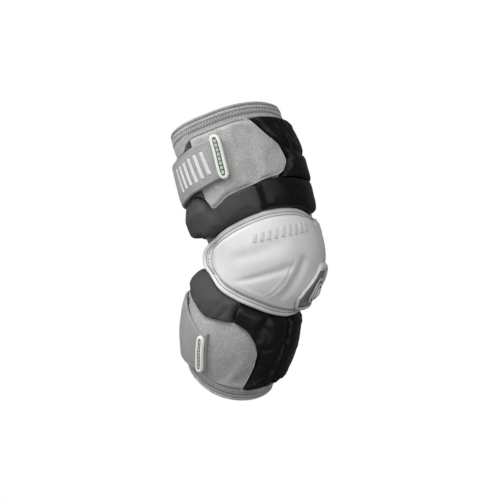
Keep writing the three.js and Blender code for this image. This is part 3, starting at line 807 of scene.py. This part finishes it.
PANELS = [                     # name, span, edges, relief, cloth, rows and the corners that are bound
    ("upper", UPPER_PANEL_SPAN, (upper_panel_low, upper_panel_high), upper_panel_relief, KNIT, 28,
     [(1, 0.75), (1, 0), (0, 0), (0, 1), (0.36, 1)]),
    # The lower panel's darker knit is painted shade.
    ("lower", LOWER_PANEL_SPAN, (lower_panel_low, lower_panel_high), lower_panel_relief, SHADED_LOWER_KNIT, 26,
     [(1, 1), (0, 1), (0, 0), (0.1, 0)]),
]


def side_panels():
    for side, sign in SIDES:
        for level, span, edges, relief, knit, rows, bound in PANELS:
            outline = between(sign * span[0], sign * span[1], *edges)
            pad(f"{level}_side_panel_{side}", outline, PANEL_FILL, [PANEL_EDGE] * 4, knit, "grey_panel",
                46, rows, relief, fill=0.5, slack=0.015, swell=0.8)
            cord_on(f"{level}_panel_tape_{side}", edge_path(outline, bound, TAPE_HEIGHT), 0.6, 0.45,
                    material=EDGE_TAPE, slot="grey_panel")


# Black foam blocks
def grooves(rows, turn, s):
    """Depth of several grooves together. Columns: depth, width, line and, where it isn't 0.15, fade."""
    return sum(depth * groove(line, turn, s, width, *fade) for depth, width, line, *fade in rows)


UPPER_FOLDS = [
    (1.4, 2.2, [(32, 122), (24, 111), (10, 104)]),
    (1.2, 2.4, [(20, 127), (12, 115), (2, 109)]),
    (1.0, 2.0, [(29, 106), (17, 101), (4, 100)]),
    (0.9, 2.4, [(26, 86), (14, 82), (2, 84)]),
]
ROLL_FOLDS = [(0.7, 3.2, [(121, 56), (136, 51), (154, 46)]), (0.6, 2.4, [(36, 64), (24, 55), (14, 52)])]
FOREARM_FOLDS = [
    (1.5, 2.6, [(45, -47), (50, -56), (53, -72)]),
    (1.6, 1.5, [(52, -79), (38, -76), (20, -72)]),
    (1.0, 1.8, [(49, -54), (42, -63), (46, -73)]),
    (1.1, 2.0, [(46, -92), (36, -97), (28, -98)]),
    (1.2, 2.2, [(24, -56), (27, -80), (35, -108)]),
]
FOREARM_RIDGE = [(20, -54), (21, -74), (26, -94), (31, -118)]
COLLAR_FOLD = [(84, -42), (90, -50), (93, -57)]
ROLL_GROOVES = ((61.7, 3.6, 2.6), (103.5, 1.2, 4.0))       # turn, depth, width


def upper_block_relief(turn, s):
    shown = smooth((turn + 6) / 8)          # the folds lie on the photographed side
    seam = 3.6 * hump(s, MIDDLE_SEAM + 2, 3.0) * smooth((27 - fold(turn)) / 8)
    return mix(0.35, 0.9, shown) * crumple(turn, s, 14, 4) - grooves(UPPER_FOLDS, turn, s) * shown - seam


def roll_slant(s):
    """How far the roll's seams have turned at a level, in degrees."""
    return (s - 46) * 0.10


def roll_relief(turn, s):
    f = fold(turn)
    crease = grooves(ROLL_FOLDS, turn, s)
    crease += 3.3 * smooth((s - roll_top(turn) + 11) / 10) * smooth((f - 106) / 6)
    for middle, depth, width in ROLL_GROOVES:
        crease += depth * hump((f - middle - roll_slant(s)) * RAD * 55, 0, width)
    crease -= 3.2 * smooth((f - 108) / 12) * smooth((54 - s) / 8)
    return mix(0.6, 0.25, smooth((f - 55) / 12)) * crumple(turn, s, 17, 6) - crease


def roll_foot(turn):
    """Softness and height of the roll's lower edge, fuller over the front."""
    return 5, mix(0.75, 0.55, smooth((fold(turn) - 40) / 30))


def roll_head(turn):
    """The same of its upper edge, flush with the pad at the crook."""
    return 3, mix(0.8, 0.95, smooth((fold(turn) - 104) / 6))


def collar_head(turn):
    """Softness and height of the collar's upper edge, which slopes off towards the crook."""
    away = smooth((fold(turn) - 96) / 22)
    return mix(5, 15, away), mix(0.45, 0.15, away)


def forearm_relief(turn, s):
    ridge = 1.6 * groove(FOREARM_RIDGE, turn, s, 1.8)
    across = (0.25 * math.sin(s * 0.9 + 2 * crumple(turn, s, 14)) * hump(fold(turn), 24, 5)
              * smooth((s + 105) / 20))
    return 0.55 * crumple(turn, s, 15, 7) - grooves(FOREARM_FOLDS, turn, s) + ridge + across


def collar_relief(turn, s):
    return 0.25 * crumple(turn, s, 24, 8) - 0.6 * groove(COLLAR_FOLD, turn, s, 2.6)


def foam_blocks():
    black = dict(wall=BLOCK_FILL, material=COATED, slot="black_pad")
    low, high = roll_top(0) + EDGE_GAP, under_upper_band(0)
    seam = (MIDDLE_SEAM - low) / (high - low)
    sides = ([(share * seam, turn) for share, turn in MIDDLE_BLOCK_SIDES[:-1]]
             + [(mix(seam, 1, share), turn) for share, turn in TOP_BLOCK_SIDES])
    upper = between(lambda v: -read(sides, v), lambda v: read(sides, v), lambda _: low, under_upper_band)
    pad("upper_pads", upper, edges=(SEWN, SEWN, SEAM, FOLDED), columns=44, rows=34,
        relief=upper_block_relief, nodes=("upper_pad_top", "upper_pad_middle"), **black)
    parts = [f"elbow_roll_{part}" for part in ("outer", "lateral", "medial", "back_lateral", "back_medial")]
    roll = pad("elbow_roll", between(-CROOK_END, CROOK_END, roll_low, roll_top), nodes=parts,
               edges=(SEWN, SEWN, roll_foot, roll_head), columns=170, rows=20, relief=roll_relief,
               slack=0.015, **black)
    recolour(roll, CHARCOAL, lambda turn, s: fold(turn) > 61.5 + roll_slant(s))
    inner, outer = FOREARM_SPLIT - BLOCK_SPLIT * 0.6, FOREARM_SPLIT + BLOCK_SPLIT * 0.6

    def under_cap(turn):
        return cap_low(turn) - EDGE_GAP

    def forearm_pad(part, start, end, softness, columns):
        pad(f"forearm_pad_{part}", between(start, end, over_lower_band, under_cap), columns=columns, rows=38,
            edges=((5, 0.4), (softness, 0.4), FOLDED, SEWN), relief=forearm_relief, **black)

    for side, sign in SIDES:
        forearm_pad(side, sign * outer, lambda v: sign * read(FOREARM_SIDE, v), 6, 26)
        collar = between(sign * COLLAR_FRONT, sign * CROOK_END, collar_low, collar_top)
        pad(f"forearm_collar_{side}", collar, BLOCK_FILL, (JOINED, SEWN, (4, 0.6), collar_head), CHARCOAL,
            "black_pad", 50, 18, collar_relief, slack=0.015)
    forearm_pad("middle", -inner, inner, 5, 18)


def crook_pads():
    start = UPPER_PANEL_SPAN[1] + 1
    pad("upper_crook_pad", between(start, 360 - start, upper_pads_low, under_upper_band), PANEL_WALL - 0.4,
        (PANEL_EDGE, PANEL_EDGE, (2.5, 0.96), PANEL_EDGE), CHARCOAL, "black_pad", 50, 26,
        lambda turn, s: 0.5 * crumple(turn, s, 15, 9), slack=0.02, swell=0.8)
    start = LOWER_PANEL_SPAN[1] + 1
    pad("lower_crook_pad", between(start, 360 - start, lower_panel_low, lower_panel_high), PANEL_FILL,
        [PANEL_EDGE] * 4, KNIT, "grey_panel", 24, 24,
        lambda turn, s: 0.5 * crumple(turn, s, 15, 10), slack=0.02, swell=0.8)


# Elbow cap, from (turn, s) lines on its dome.
CREASE = [(38, -3.5), (50, -7), (62, -10.5), (77, -16), (95, -22.5)]
BORDER = [(39, 0), (42, -7), (45, -15), (49, -21), (56, -31)]
DOME_FOLDS = [
    (1.3, 5.0, [(40, 10), (60, 8), (82, 3), (106, -3)], 0.3),
    (-0.5, 2.2, [(56, -30), (66, -28), (78, -25.5), (94, -22)], 0.25),
    (3.0, 4.0, [(30, 3), (33, -6), (38, -16), (45, -30)], 0.2),
]


def cap_inside(turn, s):
    """Millimetres in from the cap's outer edge, with the flange drawn out at its two ends."""
    to_end = (CAP_END - fold(turn)) * RAD * half_width(s) * FLANGE_WIDTH / FLANGE_TAIL
    to_edge = min(s - cap_low(turn), cap_high(turn) - s)
    smaller, larger = min(to_end, to_edge), max(to_end, to_edge)
    return smaller - 2.6 * math.exp((smaller - larger) / 4)


def tail_lift(turn):
    """How far the cap's two ends stand off the liner."""
    return TAIL_LIFT * smooth((fold(turn) - 112) / 34)


def cap_height(turn, s, fine=True):
    edge = max(0.0, cap_inside(turn, s) + 0.35)
    inside = edge - FLANGE_WIDTH
    half = (cap_high(turn) - cap_low(turn)) / 2 - FLANGE_WIDTH
    peak = DOME_RISE * read(CAP, fold(turn), 3) - FLANGE_WALL - DOME_STEP
    height = (tail_lift(turn) + FLANGE_WALL + DOME_STEP * smooth(inside / DOME_STEP + 0.5)
              + max(0, peak) * math.sin(clamp(inside / half) * math.pi / 2))
    if not fine:
        return height
    dome = smooth((inside - 1.0) / 4)
    over_crease, along = to_line(CREASE, turn, s)
    height -= 1.5 * hump(over_crease, 0.6, 2.6) * smooth(along / 0.12) * smooth((1 - along) / 0.3) * dome
    height -= grooves(DOME_FOLDS, turn, s) * dome
    border, along = to_line(BORDER, turn, s)
    ends = smooth(along / 0.12) * smooth((1 - along) / 0.12)
    height += (1.1 * hump(border, 0.4, 1.2) - 0.54 * hump(border, 2.6, 0.9)
               + 0.8 * hump(border, 4.4, 1.1)) * ends * dome
    height -= 0.55 * hump(edge, 4.4, 0.55) + 0.35 * hump(edge, 6.9, 0.45)
    lip = 1 - rounded(edge / 2.2)
    return height - (FLANGE_WALL - 1.8) * lip


def cap_line(inset, steps=90):
    """A closed line on the cap at an even distance in from its edge, as (turn, s) points."""
    def last_inside(test, a, b):
        for _ in range(24):
            middle = (a + b) / 2
            if test(middle) > inset:
                a = middle
            else:
                b = middle
        return a

    def centre(turn):
        return (cap_low(turn) + cap_high(turn)) / 2

    reach = last_inside(lambda turn: cap_inside(turn, centre(turn)), 90, CAP_END)
    turns = [mix(-reach, reach, crowd(i / steps, 0.7)) for i in range(steps + 1)]
    upper, lower = ([(turn, last_inside(lambda s: cap_inside(turn, s), centre(turn), edge(turn)))
                     for turn in turns] for edge in (cap_high, cap_low))
    return upper + lower[-2::-1]


def on_flange(spots, lift):
    """(turn, s, height) points on the finished cap."""
    return [(turn, s, LAYER_GAP * 0.5 + cap_height(turn, s) + lift) for turn, s in spots]


def elbow_cap():
    cap = wrapped("elbow_cap", between(-CAP_END, CAP_END, cap_low, cap_high),
                  lambda turn, s, u, v: LAYER_GAP + tail_lift(turn),
                  lambda turn, s, u, v: LAYER_GAP * 0.5 + cap_height(turn, s), 260, 116,
                  crowding=0.35, material=SATIN, slot="cap", nodes=("elbow_cap",))
    recolour(cap, FLANGE_SATIN, lambda turn, s: cap_inside(turn, s) < 7)
    for name, inset in (("outer", OUTER_SEAM), ("inner", INNER_SEAM)):
        cord_on(f"cap_{name}_seam", on_flange(cap_line(inset), 0.05), 0.32, 0.3, sides=6,
                material=DARK_THREAD_AND_GROOVE_SHADE, slot="cap")
    rows = []
    for side in (1, -1):
        path = on_flange([(side * fold(turn), s) for turn, s in cap_line(5.4) if turn > 116], 0.2)
        middles = [tuple(mix(x, y, 0.5) for x, y in zip(p, q)) for p, q in zip(path, path[1:])]
        rows.append(zip(path[::2], middles[::2]))
        rows.append(((turn - 1.4, s + 0.9, h), (turn + 1.4, s - 0.9, h)) for turn, s, h in path[1::2])
    stitches("cap_stitching", chain(*rows), 0.85, 0.5, DARK_THREAD_AND_GROOVE_SHADE, "cap")


# Frame and medallion at the point of the elbow
# Columns: share of the way from the frame's middle to its end, negative below; half width, share.
KITE = [
    (-1, 0.72), (-0.8, 0.80), (-0.3, 0.98), (-0.1, 1.0), (0.2, 0.90), (0.5, 0.68), (0.85, 0.48), (1, 0.44),
]


def round_points(count, reach):
    """Points round a middle, as (across, along); reach(cosine, sine) is how far off each one lies."""
    points = []
    for i in range(count):
        angle = 2 * math.pi * (i + 0.5) / count
        c, k = math.cos(angle), math.sin(angle)
        points.append((c * reach(c, k), k * reach(c, k)))
    return points


def kite(inset=0.0, cut=1.0):
    """The frame's outline, drawn in by an inset and with its ends cut off flat."""
    points = []
    for x, y in round_points(120, lambda c, k: (abs(c) ** 6 + abs(k) ** 6) ** (-1 / 6)):
        across = FRAME_WIDTH / 2 * read(KITE, y) * x
        across -= math.copysign(min(abs(across), inset), across)
        points.append((across, FRAME_LENGTH / 2 * max(-cut, min(cut, y))))
    return points


def scaled(points, share, share_along=None):
    return [(x * share, y * (share_along or share)) for x, y in points]


def stadium(width, length):
    r = width / 2
    half = length / 2 - r

    def reach(c, k):
        if abs(k) * r <= half * abs(c) and abs(c) > 1e-9:
            return r / abs(c)
        b = half * abs(k)
        return b + math.sqrt(max(0, b * b - half * half + r * r))
    return round_points(96, reach)


def plate(name, at, section, seat, **finish):
    """A plate on the sleeve from a table of rings (outline, height over its seat). A ring whose outline
    is None is its middle point, and without one the plate is a closed frame."""
    turn0, s0 = at
    count = next(len(outline) for outline, _ in section if outline)
    open_frame = all(outline for outline, _ in section)

    def spot(i, j):
        outline, height = section[j % len(section)]
        x, y = outline[i] if outline else (0, 0)
        s = s0 + y
        turn = turn0 + x / (half_width(s) + seat(turn0, s)) / RAD
        return place(turn, s, seat(turn, s) + height), (turn + 20, s)
    return turned(name, count, len(section) if open_frame else len(section) - 1, spot, **finish)


def on_cap(turn, s):
    return max(cap_height(turn, s, False), cap_height(turn, s + 2.5, False)) + LAYER_GAP


# Columns: share of the way from the frame's outer to its inner edge; height.
FRAME_SECTION = [(0, 0), (0, 0.5), (0.08, 1.4), (0.25, 2.4), (0.5, 3.1), (0.72, 3.3), (0.88, 3.0),
                 (0.97, 2.2), (1, 1.2), (1, 0)]
# Columns: share of the medallion's radius; height.
MEDALLION_SECTION = [(0, 0.6), (1, 0.6), (1, 1.1), (0.96, 1.5), (0.90, 1.75), (0.82, 1.9), (0.79, 1.2),
                     (0.69, 1.3), (0.66, 2.4), (0.55, 2.8), (0.51, 2.1), (0.41, 2.2), (0.38, 3.3), (0.2, 3.8),
                     (0, 3.9)]


def cap_frame():
    def on_frame(name, section, material, nodes=()):
        plate(name, FRAME_AT, section, on_cap, material=material, slot="cap", nodes=nodes)

    def disc(share):
        radius = MEDALLION_DIAMETER / 2 * share
        return scaled(round_points(96, lambda c, k: radius), 1, 0.85) if share else None

    outer, inner = kite(), kite(FRAME_BAR - 1.9, 0.76)
    section = [([(mix(a, b, share), mix(c, d, share)) for (a, c), (b, d) in zip(outer, inner)], height)
               for share, height in FRAME_SECTION]
    on_frame("elbow_cap_frame", section, FRAME_SATIN, ("elbow_cap_frame",))
    floor, middle = scaled(inner, 0.985), scaled(inner, 0.5)
    # A thin dark plate on the recess floor inside the frame: painted shade of the recess.
    on_frame("elbow_cap_recess_painted_shade", [(middle, 0), (floor, 0), (floor, 0.4), (middle, 0.4)], RECESS_SHADE_SATIN)
    # Dark rings on the floors of the medallion's grooves: painted shade in the grooves.
    for name, share, height in (("outer", 0.80, 1.25), ("inner", 0.52, 2.15)):
        wide, narrow = disc(share), disc(share - 0.13)
        on_frame(f"medallion_groove_{name}", [(wide, height), (wide, height + 0.35), (narrow, height + 0.35),
                                              (narrow, height)], DARK_THREAD_AND_GROOVE_SHADE)
    on_frame("elbow_medallion", [(disc(share), height) for share, height in MEDALLION_SECTION], FRAME_SATIN,
             ("elbow_medallion",))


def cap_bars():
    """A row of plain raised bars where the cap of the photograph carries raised lettering."""
    ends = []
    for side in (1, -1):
        for k in range(9):
            share = (k + 0.5) / 9
            turn, low, high = mix(79, 22, share), mix(12.2, 15.4, share), mix(18.6, 21.6, share)
            ends.append(on_flange([(side * turn, low), (side * (turn - 2.0), high)], 0.15))
    stitches("cap_raised_bars", ends, 3.4, 1.6, BAR_SATIN, "cap", 0.25)


# Straps and pull tabs
def strap_wave(turn, s):
    return 0.35 * crumple(turn, s, 17, 11)


def straps():
    # The lower strap's darker webbing is painted shade.
    for name, table, reach, columns, web in (("upper_strap", UPPER_STRAP, UPPER_REACH, 150, STRAP_WEB),
                                             ("lower_strap", LOWER_STRAP, LOWER_REACH, 140, SHADED_LOWER_WEB)):
        start = table[0][0]
        low, high = edge_of(table, reach), edge_of(table, reach, 2)

        def over(turn, s, u, v):
            edge = min(s - low(turn), high(turn) - s, (fold(turn) - start) * RAD * 60)
            return (STRAP_SEAT + STRAP_WALL * mix(0.45, 1, rounded(edge / 1.2))
                    - 0.35 * hump(edge, HEM, 0.5) + strap_wave(turn, s) * smooth(edge / 6))

        wrapped(name, between(start, 360 - start, low, high), lambda *_: STRAP_SEAT, over, columns, 30,
                crowding=0.5, material=web, slot="strap", nodes=(name,), sharp=60)
        top = STRAP_SEAT + STRAP_WALL - 0.15
        first = math.ceil(start) + 3
        paths = [[(turn, edge(turn) + inset, top) for turn in range(first, 361 - first, 3)]
                 for edge, inset in ((high, -HEM), (low, HEM))]
        paths += [[(end, mix(low(end) + HEM, high(end) - HEM, i / 12), top) for i in range(13)]
                  for end in (start + 3, 357 - start)]
        rows = [stitch_row(path, 2.6) for path in paths]
        stitches(f"{name}_stitching", chain(*rows), 0.55, 0.3, THREAD, "strap")


def strap_bars():
    """Plain slanted bars where the strap of the photograph carries lettering."""
    bm = bmesh.new()
    spots = []
    for k in range(6):
        turn0 = 97 + 7.2 * k
        low = UPPER_REACH * read(UPPER_STRAP, turn0, 1) + 7
        high = UPPER_REACH * read(UPPER_STRAP, turn0, 2) - 8
        columns = []
        for column in (-1, 0, 1):
            marks = [(turn0 + 3.4 * row / 8 + 1.7 * column, mix(low, high, row / 8)) for row in range(9)]
            spots += marks
            columns.append([bm.verts.new(place(turn, s, STRAP_SEAT + STRAP_WALL + 0.35 + strap_wave(turn, s)))
                            for turn, s in marks])
        for left, right in zip(columns, columns[1:]):
            for row in range(8):
                bm.faces.new((left[row], right[row], right[row + 1], left[row + 1]))
    paint_map(bm, spots)
    bmesh.ops.solidify(bm, geom=bm.faces[:], thickness=-0.3 * MM)
    return add_piece("upper_strap_bars", bm, PRINT, "strap")


TAB_SLACK = 2.5                # how much shorter the finished tabs are than their plain solids
# Columns: how far in from the tab's edge, None in its middle; height.
TAB_SECTION = [(None, 0), (0, 0), (-0.1, 1.6), (0.15, 2.7), (0.7, 3.4), (2.2, 3.5), (2.7, 3.2), (2.9, 2.5),
               (None, 2.5)]


def pull_tabs():
    seat = TAB_SEAT - 0.2
    for name, at, width, length in (("upper_pull_tab", UPPER_TAB, TAB_WIDTH, TAB_LENGTH),
                                    ("lower_pull_tab", LOWER_TAB, LOWER_TAB_WIDTH, LOWER_TAB_LENGTH)):
        def rings(rows):
            return [(None if inset is None else stadium(width - 2 * inset, length - 2 * inset - TAB_SLACK),
                     height) for inset, height in rows]

        plate(name, at, rings(TAB_SECTION), lambda *_: seat, material=TAB_RUBBER, slot="pull_tab",
              nodes=(name,))
        plate(f"{name}_inlay", at, rings([(None, 2.4), (2.8, 2.4), (2.8, 2.75), (None, 2.75)]),
              lambda *_: seat, material=INLAY, slot="pull_tab")
        pitch = (length - TAB_SLACK - 8) / 8
        ends = [[(at[0], at[1] + (k - 3.5 + half) * pitch, seat + 2.9) for half in (-0.4, 0.4)]
                for k in range(8)]
        stitches(f"{name}_bars", ends, width - 7.4, 0.7, INLAY_BARS, "pull_tab", 0.15)


for build in (liner, bands, side_panels, foam_blocks, crook_pads, elbow_cap, cap_frame, cap_bars, straps,
              strap_bars, pull_tabs, simulate):
    build()


# Camera and studio, placed by the photograph's frame.
FRAME_PX = 500
ELBOW_PX = (261, 257)          # where the elbow's centre lies in the frame
CAMERA_DISTANCE = 850          # millimetres, at which one pixel is one millimetre
CAMERA_AZIMUTH = 20
CAMERA_ELEVATION = 1.5
FLOOR_DROP = 0.20              # metres from the origin down to the floor
WORLD_LIGHT = (0.30, 0.18)     # strength of the soft light on the left and on the right
WORLD_TILT = 55                # degrees that its bright side is raised


def aimed(name, data, at, ahead):
    """A camera or a lamp that looks ahead."""
    made = add_object(name, data)
    made.location = at
    made.rotation_mode = "QUATERNION"
    made.rotation_quaternion = ahead.to_track_quat("-Z", "Y")
    return made


def camera():
    a, e = CAMERA_AZIMUTH * RAD, CAMERA_ELEVATION * RAD
    back = Vector((math.sin(a) * math.cos(e), -math.cos(a) * math.cos(e), math.sin(e)))
    right = Vector((math.cos(a), math.sin(a), 0))
    up = right.cross(-back)
    target = -((ELBOW_PX[0] - FRAME_PX / 2) * right + (FRAME_PX / 2 - ELBOW_PX[1]) * up) * MM
    data = bpy.data.cameras.new("photo_camera")
    data.sensor_width = 36
    data.lens = data.sensor_width * CAMERA_DISTANCE / FRAME_PX
    data.clip_end = 50
    bpy.context.scene.camera = aimed("photo_camera", data, target + back * CAMERA_DISTANCE * MM, -back)


def area_light(name, at, size, power, aim=(0, 0, 0)):
    data = bpy.data.lights.new(name, "AREA")
    data.size = size
    data.energy = power
    aimed(name, data, at, Vector(aim) - Vector(at))


def white_to_camera(tree, surface, white, target):
    """Shows a plain white to the camera, while the part is lit by the surface."""
    both = node(tree, "MixShader", links={0: (node(tree, "LightPath"), "Is Camera Ray"), 1: (surface, 0),
                                          2: (white, 0)})
    plug(tree, tree.nodes[target], {"Surface": (both, 0)})


def light_world(tree):
    """A soft light that falls off to the right and below."""
    white = tree.nodes["Background"]
    fill_in(white, {"Color": (1, 1, 1, 1), "Strength": 1.0})
    turned_map = node(tree, "Mapping", {"Rotation": (0, WORLD_TILT * RAD, -CAMERA_AZIMUTH * RAD)},
                      {"Vector": (node(tree, "TexCoord"), "Generated")})
    parts = node(tree, "SeparateXYZ", links={"Vector": (turned_map, "Vector")})
    fade = node(tree, "MapRange", {"From Min": -1, "From Max": 1, "To Min": WORLD_LIGHT[0],
                                   "To Max": WORLD_LIGHT[1]}, {"Value": (parts, "X")})
    soft = node(tree, "Background", links={"Strength": (fade, "Result")})
    white_to_camera(tree, soft, white, "World Output")


def studio():
    bm = bmesh.new()
    bmesh.ops.create_circle(bm, cap_ends=True, segments=64, radius=12)
    bmesh.ops.translate(bm, verts=bm.verts, vec=(0, 0, -FLOOR_DROP))
    mesh = bpy.data.meshes.new("studio_floor")
    bm.to_mesh(mesh)
    bm.free()
    paper, tree, surface = shader("pale_paper", {"Base Color": (0.22, 0.22, 0.22, 1), "Roughness": 0.9})
    white_to_camera(tree, surface, node(tree, "Emission"), "Material Output")
    mesh.materials.append(paper)
    add_object("studio_floor", mesh)
    world = bpy.data.worlds.new("studio")
    world.use_nodes = True
    light_world(world.node_tree)
    bpy.context.scene.world = world
    area_light("side_window", (-0.75, -0.55, 0.62), 0.8, 10.5, (0, 0, 0.05))
    area_light("top_window", (0.1, -1.6, 2.3), 1.6, 34)
    area_light("front_fill", (1.5, -1.8, 0.5), 1.4, 20)
    bpy.context.scene.view_settings.view_transform = "Standard"


camera()
studio()
